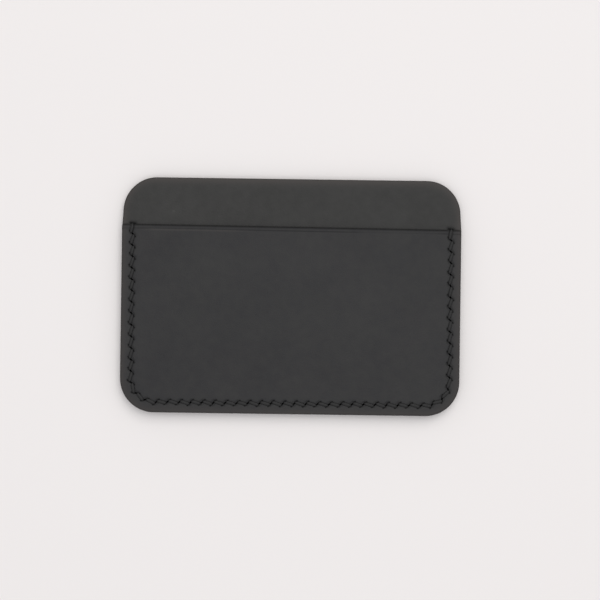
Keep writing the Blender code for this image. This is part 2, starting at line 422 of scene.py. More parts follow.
def panel(name, loops, top, bottom):
    """A closed panel. top and bottom are each (inner points, height function).

    It comes back with a number for each face: 0 on the top, 1 on the bottom and 2 on a wall.
    """
    top_points, top_faces = triangles_between(loops, top[0])
    bottom_points, bottom_faces = triangles_between(loops, bottom[0])
    base = len(top_points)
    vertices = np.vstack((
        np.column_stack((top_points, top[1](top_points))),
        np.column_stack((bottom_points, bottom[1](bottom_points))),
    ))
    faces = top_faces + [[base + i for i in reversed(face)] for face in bottom_faces]
    sides = [0] * len(top_faces) + [1] * len(bottom_faces)
    start = 0
    for number, loop in enumerate(loops):
        count = len(loop)
        for k in range(count):
            a, b = start + k, start + (k + 1) % count
            wall = [base + a, base + b, b, a]
            faces.append(wall if number == 0 else wall[::-1])
            sides.append(2)
        start += count
    piece = new_piece(name, vertices.tolist(), faces)
    piece.data.shade_smooth()
    piece.data.set_sharp_from_angle(angle=SHARP_ANGLE)
    print(name, len(faces), "faces")
    return piece, np.array(sides)


# %% [markdown]
# ## The tall panel
#
# It lies between the pockets, and only the strip above their mouths shows. Its free edge is
# bevelled and burnished round on both sides. Lower down the three layers were sanded and burnished
# together, so there its own edge is almost square, and the strip above the mouths was sanded a
# quarter of a millimetre narrower at each side. The pockets' mouths have worn a fine line into it.

# %% Tall panel
FREE_EDGE_RADIUS = 0.42 * MM
JOINED_EDGE_RADIUS = 0.05 * MM
EASE_WIDTH = 2.6 * MM  # burnishing also presses the last few millimetres down a little
EASE_DEPTH = 0.14 * MM
LIP_DEPTH = 0.22 * MM  # how far a slit's edge is pulled in by the thread
LIP_WIDTH = 0.34 * MM
END_LIP_DEPTH = 0.12 * MM
FREE_EDGE_START = -0.5 * MM  # over the mouth
FREE_EDGE_FULL = 2.0 * MM
SANDED_OFF = 0.25 * MM  # at each side
SANDED_RUN = 5.0 * MM  # over the mouth, where the sanding fades in
WORN_LINE_DEPTH = 0.08 * MM
WORN_LINE_WIDTH = 0.22 * MM
# Where rows of points lie: in from the edge, round a slit, and inside the mark of an end slit
EDGE_ROWS = mm(0.02, 0.07, 0.15, 0.25, 0.36, 0.5, 0.75, 1.1, 1.6, 2.2, 3.0)
RING_ROWS = mm(0.05, 0.12, 0.22, 0.36, 0.55)
MARK_ROWS = mm(-0.29, -0.2, -0.1, 0.0)
EDGE_GAP = 0.6 * MM
WORN_ROWS = 6  # over the mouth line, and as many under it
WORN_ROW_STEP = 0.08 * MM
WORN_ROW_GAP = 0.3 * MM
WORN_ROW_INSET = 0.1 * MM
TALL_FIELD_GAP = 1.6 * MM
TALL_FIELD_INSET = 3.4 * MM
TALL_FIELD_CLEAR = 0.5 * MM  # from a hole

all_holes = [slit_outline(*slit) for slit in slits]
end_marks = []
for number in (0, -1):
    all_holes[number] = slit_outline(*slits[number], -END_HOLE_SQUEEZE)
    middle, along, _ = slits[number]
    end_marks.append((middle + Vector((0, END_MARK_RISE)), along, END_MARK_REACH))


def tall_drop(p):
    """How far the tall panel's face lies under its flat level."""
    inset = edge_distance(p)
    free = smooth(p[:, 1], MOUTH_Y + FREE_EDGE_START, MOUTH_Y + FREE_EDGE_FULL)
    radius = JOINED_EDGE_RADIUS + (FREE_EDGE_RADIUS - JOINED_EDGE_RADIUS) * free
    ease = EASE_DEPTH * free * (1 - smooth(inset, 0, EASE_WIDTH))
    lip = END_LIP_DEPTH * np.exp(-(np.maximum(slit_distance(p, end_marks), 0) / LIP_WIDTH) ** 2)
    worn = WORN_LINE_DEPTH * np.exp(-((mouth_distance(p) / WORN_LINE_WIDTH) ** 2))
    return rounding(inset, radius) + ease + lip + worn


tall_loops = [closed_outline(0.0, OUTLINE_GAP), *all_holes]
end_rings = [slit_outline(*mark, grow) for grow in MARK_ROWS + RING_ROWS for mark in end_marks]
worn_rows = [
    mouth_line(k * WORN_ROW_STEP, WORN_ROW_GAP, WORN_ROW_INSET)
    for k in range(-WORN_ROWS, WORN_ROWS + 1)
]
edge_rows = [closed_outline(inset, EDGE_GAP) for inset in EDGE_ROWS]
field = grid(-HALF_WIDTH, HALF_WIDTH, -HALF_HEIGHT, HALF_HEIGHT, TALL_FIELD_GAP)
field = field[edge_distance(field) > TALL_FIELD_INSET]
field = field[slit_distance(field, slits) > TALL_FIELD_CLEAR]
tall_points = np.vstack((*end_rings, *worn_rows, *edge_rows, field))
tall_points = tall_points[slit_distance(tall_points, slits) > HOLE_CLEAR]
tall_points = thinned(tall_points, np.vstack(tall_loops), CLOSEST)
tall_panel, tall_sides = panel(
    "tall_leather_panel",
    tall_loops,
    (tall_points, lambda p: PANEL_TOP - tall_drop(p)),
    (tall_points, lambda p: PANEL_BOTTOM + tall_drop(p)),
)

for vertex in tall_panel.data.vertices:
    share = smooth(vertex.co.y, MOUTH_Y, MOUTH_Y + SANDED_RUN)
    vertex.co.x *= 1 - SANDED_OFF / HALF_WIDTH * share

# %% [markdown]
# ## The pockets
#
# A pocket lies flat on the seam and is stretched a little over the cards that it has held, so its
# field is a very low cushion, and its mouth stays almost shut. A warm creasing iron has drawn a
# line a millimetre under the mouth. The stitches have pulled the leather in along the seam: each
# one lies in a small trough of its own, each slit has a rounded lip, and the tooth's cut runs on
# past both ends of the slit as a fine groove.

# %% Pocket heights
MOUTH_RADIUS = 0.12 * MM
INNER_MOUTH_RADIUS = 0.10 * MM
MOUTH_GAP_SHARE = 0.22  # of the field's rise that is left at the mouth
CREASE_OFFSET = 1.05 * MM
CREASE_WIDTH = 0.17 * MM
CREASE_DEPTH = 0.13 * MM
CREASE_ENDS = mm(3.6, 4.6)  # in from each side, where the crease fades in
# The iron was pressed hardest on the left and hardly at all on the right
CREASE_X = (-45, -40, -20, -8, 15, 22, 40, 46)  # in millimetres
CREASE_PRESSURE = (0.6, 1.0, 1.0, 0.5, 0.5, 0.2, 0.2, 0.7)
RISE_START = 4.5 * MM
RISE_END = 26.0 * MM
MOUTH_RISE_END = 24.0 * MM
OUTER_EDGE_RADIUS = 0.55 * MM
SEAM_DIP = 0.09 * MM
SEAM_DIP_WIDTH = 1.15 * MM
TROUGH_DEPTH = 0.17 * MM
TROUGH_WIDTH = 0.45 * MM
CUT_DEPTH = 0.36 * MM
CUT_WIDTH = 0.23 * MM
END_TROUGH_DEPTH = 0.24 * MM  # the end stitches bear on the mouth's edge and pull harder
END_TROUGH_WIDTH = 0.62 * MM
FIELD_RISE = FIELD_HEIGHT - SEAM_GAP - LEATHER


def pocket_gap(p):
    """The space between a pocket and the tall panel."""
    rise = smooth(u_distance(p), RISE_START, RISE_END)
    under_mouth = smooth(mouth_distance(p), 0, MOUTH_RISE_END)
    return SEAM_GAP + FIELD_RISE * rise * (MOUTH_GAP_SHARE + (1 - MOUTH_GAP_SHARE) * under_mouth)


def crease_depth(p):
    """How deep the creased line is."""
    pressure = np.interp(p[:, 0] / MM, CREASE_X, CREASE_PRESSURE)
    reach = smooth(HALF_WIDTH - np.abs(p[:, 0]), *CREASE_ENDS)
    offset = (mouth_distance(p) - CREASE_OFFSET) / CREASE_WIDTH
    return CREASE_DEPTH * pressure * reach * np.exp(-offset * offset)


def stitch_troughs(p, side):
    """How deep the stitches of one side have pressed their troughs."""
    starts, ends = zip(*(stitch_ends(i, side) for i in range(len(slits) - 1)))
    any_stitch = segment_distance(p, starts, ends)
    end_stitch = segment_distance(p, (starts[0], starts[-1]), (ends[0], ends[-1]))
    trough = TROUGH_DEPTH * np.exp(-((any_stitch / TROUGH_WIDTH) ** 2))
    return np.maximum(trough, END_TROUGH_DEPTH * np.exp(-((end_stitch / END_TROUGH_WIDTH) ** 2)))


def pocket_inner(p):
    """Height of a pocket's inner face over the tall panel."""
    edge = rounding(u_distance(p), JOINED_EDGE_RADIUS) + rounding(mouth_distance(p), INNER_MOUTH_RADIUS)
    return pocket_gap(p) + edge


def pocket_outer(p, side):
    """Height of a pocket's outer face over the tall panel."""
    inset = u_distance(p)
    drop = rounding(inset, OUTER_EDGE_RADIUS) + EASE_DEPTH * (1 - smooth(inset, 0, EASE_WIDTH))
    drop = drop + rounding(mouth_distance(p), MOUTH_RADIUS)
    drop = drop + crease_depth(p)
    drop = drop + SEAM_DIP * np.exp(-(((inset - SEAM_INSET) / SEAM_DIP_WIDTH) ** 2))
    lip = LIP_DEPTH * np.exp(-(np.maximum(slit_distance(p, pocket_slits), 0) / LIP_WIDTH) ** 2)
    cut = CUT_DEPTH * np.exp(-((cut_distance(p) / CUT_WIDTH) ** 2))
    drop = drop + np.maximum(lip, np.maximum(cut, stitch_troughs(p, side)))
    return pocket_gap(p) + LEATHER - drop


# %% [markdown]
# The outer face needs its points close together along the mouth, along the seam and round the
# tips of the cuts. The inner face is seen only at the mouth, so it gets far fewer. Both pockets
# are cut to one pattern, so their flat points are worked out once, and only the heights differ.

# %% Pocket shapes
MOUTH_ROWS = mm(0.03, 0.08, 0.15, 0.23, 0.32, 0.5, 0.75, 0.9, 1.0, 1.1, 1.2, 1.35, 1.7, 2.3)
INNER_MOUTH_POINTS = 1400  # the inner face has the points of nearly five of these rows
MOUTH_ROW_GAP = 0.35 * MM
MOUTH_ROW_INSET = 0.04 * MM
INNER_EDGE_ROWS = mm(0.03, 0.06, 0.8, 4.6)
INNER_EDGE_GAP = 0.7 * MM
SHOULDER_ROWS = mm(4.8, 5.4, 6.2)
SHOULDER_GAP = 0.8 * MM
SEAM_BAND = mm(1.9, 4.5)
SEAM_STEP = 0.19 * MM
POCKET_FIELD_GAP = 1.3 * MM
POCKET_FIELD_INSET = 6.8 * MM
FIELD_UNDER_MOUTH = 2.6 * MM
MOUTH_CLEAR = 0.015 * MM
ROW_END_CLEAR = 0.02 * MM
COARSE_CLEAR = 0.1 * MM  # of a coarse point from a hole
TIP_OUT = (-0.12, -0.04, 0.04, 0.12)  # along a cut from its tip, in millimetres
TIP_ASIDE = (-0.18, -0.09, 0, 0.09, 0.18)  # and across it


def u_rows(insets, gap):
    """U lines under the mouth, at several insets."""
    lines = np.vstack([u_line(inset, MOUTH_Y + 1 * MM, gap) for inset in insets])
    return lines[mouth_distance(lines) > ROW_END_CLEAR]


def pocket_outline():
    """The pockets' outline: a U whose ends are cut to the tilt of the mouth, and the mouth."""
    sides = u_line(0.0, MOUTH_Y, OUTLINE_GAP)
    sides[0, 1] -= MOUTH_TILT * HALF_WIDTH
    sides[-1, 1] += MOUTH_TILT * HALF_WIDTH
    return np.vstack((sides, mouth_line(0.0, OUTLINE_GAP)[1:-1]))


def cut_tips():
    """A small patch of points at each end of every cut."""
    return np.array([
        middle + end * (along * (CUT_REACH + out * MM)) + Vector((-along.y, along.x)) * aside * MM
        for middle, along, _ in pocket_slits
        for end in (1, -1)
        for out in TIP_OUT
        for aside in TIP_ASIDE
    ])


def pocket_points(loops):
    """The inner points of a pocket's outer face, and those of its inner face."""
    rings = [slit_outline(*slit, grow) for grow in RING_ROWS[:3] for slit in pocket_slits]
    mouth = np.vstack([mouth_line(offset, MOUTH_ROW_GAP, MOUTH_ROW_INSET) for offset in MOUTH_ROWS])
    edges = u_rows(EDGE_ROWS[:9], EDGE_GAP)
    band = u_rows(np.arange(*SEAM_BAND, SEAM_STEP), SEAM_STEP)
    shoulder = u_rows(SHOULDER_ROWS, SHOULDER_GAP)
    field = grid(-HALF_WIDTH, HALF_WIDTH, -HALF_HEIGHT, MOUTH_Y, POCKET_FIELD_GAP)
    inside = (u_distance(field) > POCKET_FIELD_INSET) & (mouth_distance(field) > FIELD_UNDER_MOUTH)
    field = field[inside]
    fine = np.vstack((*rings, cut_tips(), mouth, edges, band, shoulder, field))
    clear = (slit_distance(fine, pocket_slits) > HOLE_CLEAR) & (mouth_distance(fine) > MOUTH_CLEAR)
    coarse = np.vstack((u_rows(INNER_EDGE_ROWS, INNER_EDGE_GAP), mouth[:INNER_MOUTH_POINTS], field))
    coarse = coarse[slit_distance(coarse, pocket_slits) > COARSE_CLEAR]
    edge_points = np.vstack(loops)
    return thinned(fine[clear], edge_points, CLOSEST), thinned(coarse, edge_points, CLOSEST)


pocket_loops = [pocket_outline(), *all_holes[1:-1]]
outer_points, inner_points = pocket_points(pocket_loops)


def make_pocket(name, side):
    """A pocket on the front (side 1) or the rear (side -1), and which of its faces lie inside."""
    level = PANEL_TOP if side > 0 else PANEL_BOTTOM
    outer = (outer_points, lambda p: level + side * pocket_outer(p, side))
    inner = (inner_points, lambda p: level + side * pocket_inner(p))
    if side > 0:
        piece, sides = panel(name, pocket_loops, outer, inner)
        return piece, sides == 1
    piece, sides = panel(name, pocket_loops, inner, outer)
    return piece, sides == 0


front_pocket, front_flesh = make_pocket("front_pocket_leather", 1)
rear_pocket, rear_flesh = make_pocket("rear_pocket_leather", -1)

# %% [markdown]
# ## The cement
#
# Contact cement was brushed on both faces along the seam and pressed together. It dries to a thin
# film that shows, if at all, as a hairline in the edge.

# %% Cement films
CEMENT_INSET = 0.25 * MM
CEMENT_CLEAR = 0.01 * MM  # to each of the two faces that it joins
CEMENT_TOP = MOUTH_Y - 0.6 * MM
CEMENT_ROWS = mm(1.2, 2.1)
CEMENT_ROW_GAP = 1.5 * MM
CEMENT_ROW_TOP = 1.2 * MM  # under the mouth
CEMENT_CLOSEST = 0.05 * MM


def make_cement(name, side):
    """The U of cement between the tall panel and one pocket."""
    outer = u_line(CEMENT_INSET, CEMENT_TOP, EDGE_GAP)
    inner = u_line(RISE_START, CEMENT_TOP, EDGE_GAP)
    loops = [np.vstack((outer, inner[::-1])), *all_holes[1:-1]]
    middle = u_rows(CEMENT_ROWS, CEMENT_ROW_GAP)
    middle = middle[mouth_distance(middle) > CEMENT_ROW_TOP]
    middle = middle[slit_distance(middle, slits) > COARSE_CLEAR]
    middle = thinned(middle, np.vstack(loops), CEMENT_CLOSEST)
    level = PANEL_TOP if side > 0 else PANEL_BOTTOM
    low, high = sorted((level + side * CEMENT_CLEAR, level + side * (SEAM_GAP - CEMENT_CLEAR)))
    top = (middle, lambda p: np.full(len(p), high))
    bottom = (middle, lambda p: np.full(len(p), low))
    piece, _ = panel(name, loops, top, bottom)
    return piece


front_cement = make_cement("front_cement_line", 1)
rear_cement = make_cement("rear_cement_line", -1)

# %% [markdown]
# ## The thread
#
# The thread is one length of waxed polyester, 0.66 mm thick, of three plies twisted together. Both
# of its ends go through every slit, one from each side, so the front and the rear each show a
# stitch between all the holes. The path is a smooth curve through a few points for each stitch:
# up through the slit, over its lip, along the trough with a slight arch, and down again. The two
# end stitches rise out of the tall panel and wrap over the mouth's edge.

# %% The thread's path
SURFACE = PANEL_TOP - MIDDLE_Z + SEAM_GAP + LEATHER - SEAM_DIP  # of a pocket at the seam
RIDE_HEIGHT = 0.05 * MM  # of the thread's middle over that surface
ARCH = 0.06 * MM
DIVE = 0.45 * MM  # how far under the surface a stitch starts and ends
LIP_RUN = 0.10 * MM  # from a stitch's end to the slit's lip
LIP_DIP = 0.15 * MM  # of the lip under the surface
LANDING = 0.36 * MM  # from a stitch's end to where it lies flat
# Where an end stitch crosses the mouth's edge: how far under the mouth line, and at what height
CORNER = (-0.22 * MM, SURFACE - 0.48 * MM)
SHOULDER = (0.06 * MM, SURFACE - 0.05 * MM)
TOP = (0.75 * MM, SURFACE + 0.20 * MM)
TOP_SHARE = 0.3  # of the way from the hole to the stitch's other end, across the seam
END_LANDING = 0.34 * MM
END_LANDING_RISE = 0.10 * MM


def at(place, height):
    """A point over a flat place, at a height from the middle of the tall panel."""
    return Vector((place.x, place.y, MIDDLE_Z + height))


def stitch_path(start, end, side):
    """The points of one stitch from slit to slit, on the front (side 1) or the rear (side -1)."""
    run = (end - start).normalized()
    lying = SURFACE + RIDE_HEIGHT
    return [
        at(start, side * (SURFACE - DIVE)),
        at(start + run * LIP_RUN, side * (SURFACE - LIP_DIP)),
        at(start + run * LANDING, side * lying),
        at((start + end) / 2, side * (lying + ARCH)),
        at(end - run * LANDING, side * lying),
        at(end - run * LIP_RUN, side * (SURFACE - LIP_DIP)),
        at(end, side * (SURFACE - DIVE)),
    ]


def end_stitch_path(hole, pocket_end, side):
    """A stitch that leaves the tall panel's end hole and wraps over the mouth's edge."""
    mouth = hole.y - END_HOLE_RISE
    panel_face = LEATHER / 2
    top_x = hole.x * (1 - TOP_SHARE) + pocket_end.x * TOP_SHARE
    return [
        at(hole, side * (panel_face - DIVE)),
        at(hole, side * (panel_face + LIP_DIP)),
        at(Vector((hole.x, mouth - CORNER[0])), side * CORNER[1]),
        at(Vector((hole.x, mouth - SHOULDER[0])), side * SHOULDER[1]),
        at(Vector((top_x, mouth - TOP[0])), side * TOP[1]),
        at(pocket_end + Vector((0, END_LANDING)), side * (SURFACE + END_LANDING_RISE)),
        at(pocket_end, side * (SURFACE - LIP_DIP)),
        at(pocket_end, side * (SURFACE - DIVE)),
    ]


def whole_thread():
    """The thread's points from one end to the other. Its middle is in the first hole."""
    last = len(slits) - 1

    def stitch(i, side):
        start, end = stitch_ends(i, side)
        if i == 0:
            return end_stitch_path(start, end, side)
        if i == last - 1:
            return end_stitch_path(end, start, side)[::-1]
        return stitch_path(start, end, side)

    halves = []
    for first in (1, -1):
        points = []
        for i in range(last):
            side = first if i % 2 == 0 else -first
            points += stitch(i, side)
        halves.append(points)
    return halves[0][::-1] + halves[1]


def smooth_path(points, step):
    """Points every step or so along a smooth curve through the given ones."""
    line = np.array([points[0], *points, points[-1]], float)
    places = []
    for k in range(1, len(line) - 2):
        a, b, c, d = line[k - 1 : k + 3]
        count = max(2, math.ceil(np.linalg.norm(c - b) / step))
        t = np.arange(count)[:, None] / count
        second = (2 * a - 5 * b + 4 * c - d) * t**2
        third = (3 * b - a - 3 * c + d) * t**3
        places.append(0.5 * (2 * b + (c - a) * t + second + third))
    return np.vstack([*places, line[-1:]])


# %% [markdown]
# A curve with a round bevel would give a smooth tube. To show the plies, the tube is made here
# ring by ring, with three lobes that turn as they go along. Each stitch was tapped flat with a
# hammer, so where the thread lies it is wider and lower than where it stands in a slit.

# %% Making the twisted tube
PLIES = 3
TWIST_PITCH = 2.1 * MM  # length of one full turn of a ply
PLY_DEPTH = 0.17  # of a groove between plies, as a share of the radius
FLATTER, WIDER = 0.36, 0.52  # how much a stitch was tapped flat and spread, where it lies
AROUND = 12  # points on a ring
PATH_STEP = 0.2 * MM


def twisted_tube(name, path, radius):
    """A closed tube of twisted plies along a path."""
    tangents = np.gradient(path, axis=0)
    tangents /= np.linalg.norm(tangents, axis=1)[:, None]
    steps = np.linalg.norm(np.diff(path, axis=0), axis=1)
    travelled = np.concatenate(([0.0], np.cumsum(steps)))
    normal = np.cross(tangents[0], (0.0, 0.37, 0.93))  # any direction across the thread will do
    rings = []
    turn = 2 * math.pi * np.arange(AROUND) / AROUND
    for place, tangent, s in zip(path, tangents, travelled):
        # The last ring's normal, turned as little as the new direction asks for
        normal = normal - tangent * (normal @ tangent)
        normal /= np.linalg.norm(normal)
        other = np.cross(tangent, normal)
        lobes = np.abs(np.cos(PLIES / 2 * (turn - 2 * math.pi * s / TWIST_PITCH)))
        r = radius * (1 - PLY_DEPTH + PLY_DEPTH * lobes)
        ring = r[:, None] * (np.cos(turn)[:, None] * normal + np.sin(turn)[:, None] * other)
        lying = (1 - tangent[2] ** 2) ** 3  # 1 where the thread lies, 0 where it stands in a slit
        rings.append(place + ring * (1 + WIDER * lying, 1 + WIDER * lying, 1 - FLATTER * lying))
    vertices = np.vstack(rings)
    faces = []
    for ring in range(len(rings) - 1):
        a, b = ring * AROUND, (ring + 1) * AROUND
        faces += [(a + k, a + (k + 1) % AROUND, b + (k + 1) % AROUND, b + k) for k in range(AROUND)]
    faces.append(tuple(range(AROUND - 1, -1, -1)))
    faces.append(tuple(range(len(vertices) - AROUND, len(vertices))))
    piece = new_piece(name, vertices.tolist(), faces)
    piece.data.shade_smooth()
    print(name, len(faces), "faces,", f"{1000 * travelled[-1]:.0f} mm of thread")
    return piece


thread = twisted_tube("sewn_thread", smooth_path(whole_thread(), PATH_STEP), THREAD_RADIUS)

# %% [markdown]
# ## Materials
#
# Colours are written as sRGB hex values, and one function turns them to the linear values that a
# shader takes. One more function adds a node, sets its values and links its inputs. With it, each
# material reads as a list of what it is made of.

# %% Colour and node helpers
def linear(hex_colour):
    """A colour such as #2b2b2c as linear red, green, blue and alpha."""
    parts = [int(hex_colour[k : k + 2], 16) / 255 for k in (1, 3, 5)]
    return (*(c / 12.92 if c <= 0.04045 else ((c + 0.055) / 1.055) ** 2.4 for c in parts), 1.0)


def add(tree, kind, values=None, links=None, **settings):
    """Adds a node, with values for its inputs, links into its inputs and its own settings."""
    made = tree.nodes.new("ShaderNode" + kind)
    for key, value in settings.items():
        setattr(made, key, value)
    for key, value in (values or {}).items():
        made.inputs[key].default_value = value
    for key, source in (links or {}).items():
        tree.links.new(source, made.inputs[key])
    return made


def mixed(tree, factor, first, second):
    """A mix of two colours. Each is a hex value or another node's output."""
    mix = add(tree, "Mix", None, {"Factor": factor}, data_type="RGBA")
    for socket, colour in ((mix.inputs[6], first), (mix.inputs[7], second)):
        if isinstance(colour, str):
            socket.default_value = linear(colour)
        else:
            tree.links.new(colour, socket)
    return mix.outputs[2]


def new_material(name, values):
    """A material, its tree, and its shader with these values."""
    material = bpy.data.materials.new(name)
    material.use_nodes = True
    tree = material.node_tree
    shader = tree.nodes["Principled BSDF"]
    for key, value in values.items():
        shader.inputs[key].default_value = value
    return material, tree, shader


def add_bump(tree, shader, height, strength, depth):
    """Lets the shader see small heights that the mesh doesn't have."""
    bump = add(tree, "Bump", {"Strength": strength, "Distance": depth}, {"Height": height})
    tree.links.new(bump.outputs["Normal"], shader.inputs["Normal"])


# %% [markdown]
# ### Vegetable-tanned leather, dyed black, matte
# The grain side is almost smooth. What the eye gets is a very even charcoal with a slow mottle
# from the dye, a fine grain of cells about half a millimetre wide, and a few pale scuffs. The
# finish is matte: an IOR of 1.45 and a roughness of about 0.6. The tall panel's leather is a
# little paler and warmer than the pockets', so there are two blacks.

# %% Black leather
def mark_points(piece, name, values):
    """Keeps one number for each point of a mesh, for a material to read."""
    attribute = piece.data.attributes.new(name, "FLOAT", "POINT")
    attribute.data.foreach_set("value", np.asarray(values, np.float32))


def points_of(piece):
    """All the points of a mesh, as an array."""
    flat = np.zeros(3 * len(piece.data.vertices), np.float32)
    piece.data.vertices.foreach_get("co", flat)
    return flat.reshape(-1, 3).astype(float)


# the rim's burnished colour, which also carries a painted highlight on the edges and the crease
RIM_AND_HIGHLIGHT_COLOUR = "#3e3a38"
SCUFF_COLOUR = "#4a4a48"
# painted shade colour: slits, end holes, the mouth line, the mouth's edge, the crease, and the thread in
# its slits
PAINTED_SHADE_COLOUR = "#0c0c0d"
DYE_MOTTLE = 14 * MM
FINE_MOTTLE = 2.6 * MM
FINE_SHARE = 0.6
MOTTLE_RANGE = {"From Min": 0.32, "From Max": 0.68}
GRAIN_CELL = 0.55 * MM
PORE = 0.16 * MM
PORE_SHARE = 0.5
GRAIN_DEPTH = 0.035 * MM
SCUFF_SPACING = 11 * MM
SCUFF_SIZE = {"From Min": 0.05, "From Max": 0.02}  # as shares of the spacing
SCUFF_RARITY = 0.62  # the share of the spots that don't show
SCUFF_STRENGTH = 0.22
MATTE = {"To Min": 0.58, "To Max": 0.68}
LEATHER_IOR = 1.45


def black_leather(name, dark, light):
    """Dyed leather with mottle, scuffs and grain, a burnished rim with a painted highlight, and painted
    shade.
    """
    material, tree, shader = new_material(name, {"IOR": LEATHER_IOR, "Specular IOR Level": 0.4})
    here = {"Vector": add(tree, "TexCoord").outputs["Object"]}
    slow = add(tree, "TexNoise", {"Scale": 1 / DYE_MOTTLE, "Detail": 3.0, "Roughness": 0.55}, here)
    fine = add(tree, "TexNoise", {"Scale": 1 / FINE_MOTTLE, "Detail": 2.0}, here)
    noises = {"A": slow.outputs["Fac"], "B": fine.outputs["Fac"]}
    mottle = add(tree, "Mix", {"Factor": FINE_SHARE}, noises)
    spread = add(tree, "MapRange", MOTTLE_RANGE, {"Value": mottle.outputs["Result"]})
    colour = mixed(tree, spread.outputs["Result"], dark, light)

    # Scuffs: one small spot in some of the cells of a coarse pattern
    spots = add(tree, "TexVoronoi", {"Scale": 1 / SCUFF_SPACING}, here)
    spot = add(tree, "MapRange", SCUFF_SIZE, {"Value": spots.outputs["Distance"]})
    chosen = add(tree, "SeparateColor", None, {"Color": spots.outputs["Color"]})
    rare = add(tree, "Math", {1: SCUFF_RARITY}, {0: chosen.outputs["Red"]}, operation="GREATER_THAN")
    both = {0: spot.outputs["Result"], 1: rare.outputs["Value"]}
    scuff = add(tree, "Math", None, both, operation="MULTIPLY")
    scuff = add(tree, "Math", {1: SCUFF_STRENGTH}, {0: scuff.outputs["Value"]}, operation="MULTIPLY")
    colour = mixed(tree, scuff.outputs["Value"], colour, SCUFF_COLOUR)

    # The rim is burnished paler and browner and carries a painted highlight; painted shade darkens
    # slits, mouth and crease
    rim = add(tree, "Attribute", attribute_name="rim")
    colour = mixed(tree, rim.outputs["Fac"], colour, RIM_AND_HIGHLIGHT_COLOUR)
    # pressed holds painted shade, mixed in as a darker colour
    pressed = add(tree, "Attribute", attribute_name="pressed")
    colour = mixed(tree, pressed.outputs["Fac"], colour, PAINTED_SHADE_COLOUR)
    tree.links.new(colour, shader.inputs["Base Color"])

    # roughness goes up to 1 where the painted shade lies
    rough = add(tree, "MapRange", MATTE, {"Value": fine.outputs["Fac"]})
    shade_roughness_inputs = {"Factor": pressed.outputs["Fac"], 2: rough.outputs["Result"]}
    shade_roughness = add(tree, "Mix", {3: 1.0}, shade_roughness_inputs)
    tree.links.new(shade_roughness.outputs[0], shader.inputs["Roughness"])
    cell_values = {"Scale": 1 / GRAIN_CELL, "Smoothness": 0.6}
    cells = add(tree, "TexVoronoi", cell_values, here, feature="SMOOTH_F1")
    pores = add(tree, "TexNoise", {"Scale": 1 / PORE, "Detail": 2.0}, here)
    heights = {0: pores.outputs["Fac"], 2: cells.outputs["Distance"]}
    grain = add(tree, "Math", {1: PORE_SHARE}, heights, operation="MULTIPLY_ADD")
    add_bump(tree, shader, grain.outputs["Value"], 0.9, GRAIN_DEPTH)
    return material


# %% [markdown]
# ### The flesh side
#
# Inside the pockets the leather shows its flesh side: loose short fibres, rougher and greyer.

# %% Flesh side
FIBRE = 0.45 * MM
FIBRE_HEIGHT = 0.08 * MM


def flesh_side():
    values = {"Roughness": 0.9, "IOR": LEATHER_IOR}
    material, tree, shader = new_material("leather_flesh_side", values)
    here = {"Vector": add(tree, "TexCoord").outputs["Object"]}
    fibres = add(tree, "TexNoise", {"Scale": 1 / FIBRE, "Detail": 5.0, "Roughness": 0.7}, here)
    colour = mixed(tree, fibres.outputs["Fac"], "#1c1b1b", "#3a3837")
    tree.links.new(colour, shader.inputs["Base Color"])
    add_bump(tree, shader, fibres.outputs["Fac"], 0.8, FIBRE_HEIGHT)
    return material


# %% [markdown]
# ### Waxed polyester thread and dried cement
#
# Polyester filaments are glossy, but beeswax fills between them, so the thread has a soft satin
# shine. It is a touch darker than the leather. The cement is chloroprene rubber, dark amber.

# %% Thread and cement
WAX_PATCH = 0.7 * MM
FILAMENT = 0.07 * MM
FILAMENT_HEIGHT = 0.02 * MM
CEMENT_CLOUD = 1.5 * MM


def waxed_thread():
    values = {"Roughness": 0.6, "IOR": 1.5, "Specular IOR Level": 0.35}
    material, tree, shader = new_material("waxed_polyester_thread", values)
    here = {"Vector": add(tree, "TexCoord").outputs["Object"]}
    wax = add(tree, "TexNoise", {"Scale": 1 / WAX_PATCH, "Detail": 3.0}, here)
    colour = mixed(tree, wax.outputs["Fac"], "#121213", "#202020")
    # painted shade on the thread where it dives into a slit
    thread_painted_shade = add(tree, "Attribute", attribute_name="thread_painted_shade")
    colour = mixed(tree, thread_painted_shade.outputs["Fac"], colour, PAINTED_SHADE_COLOUR)
    tree.links.new(colour, shader.inputs["Base Color"])
    filaments = add(tree, "TexNoise", {"Scale": 1 / FILAMENT, "Detail": 1.0}, here)
    add_bump(tree, shader, filaments.outputs["Fac"], 0.4, FILAMENT_HEIGHT)
    return material


def dried_cement():
    material, tree, shader = new_material("dried_contact_cement", {"Roughness": 0.6})
    here = {"Vector": add(tree, "TexCoord").outputs["Object"]}
    cloud = add(tree, "TexNoise", {"Scale": 1 / CEMENT_CLOUD}, here)
    colour = mixed(tree, cloud.outputs["Fac"], "#15120e", "#2a2318")
    tree.links.new(colour, shader.inputs["Base Color"])
    return material


panel_leather = black_leather("black_vegetable_tanned_leather_panel", "#262625", "#30302f")
pocket_leather = black_leather("black_vegetable_tanned_leather_pocket", "#202022", "#2a2a2a")
flesh, thread_wax, cement = flesh_side(), waxed_thread(), dried_cement()

# %% [markdown]
# The marks are worked out from the same distances as the heights: a paler burnished rim with a
# painted highlight, painted shade in the slits, the end holes, along the mouth and along the
# crease, and a painted highlight on the crease's lower wall in its left third.

# %% Put the materials on
RIM_WIDTH = 1.5 * MM
# the rim is paler from burnishing and from a painted highlight, strongest on the tall panel
TALL_RIM, POCKET_RIM = 0.8, 0.5
# painted shade in the slits and the cuts
SLIT_SHADE_WIDTH = 0.22 * MM
SLIT_PAINTED_SHADE = 0.9
# painted shade in the end holes' dimples
END_MARK_WIDTH = 0.40 * MM
END_HOLE_PAINTED_SHADE = 0.95
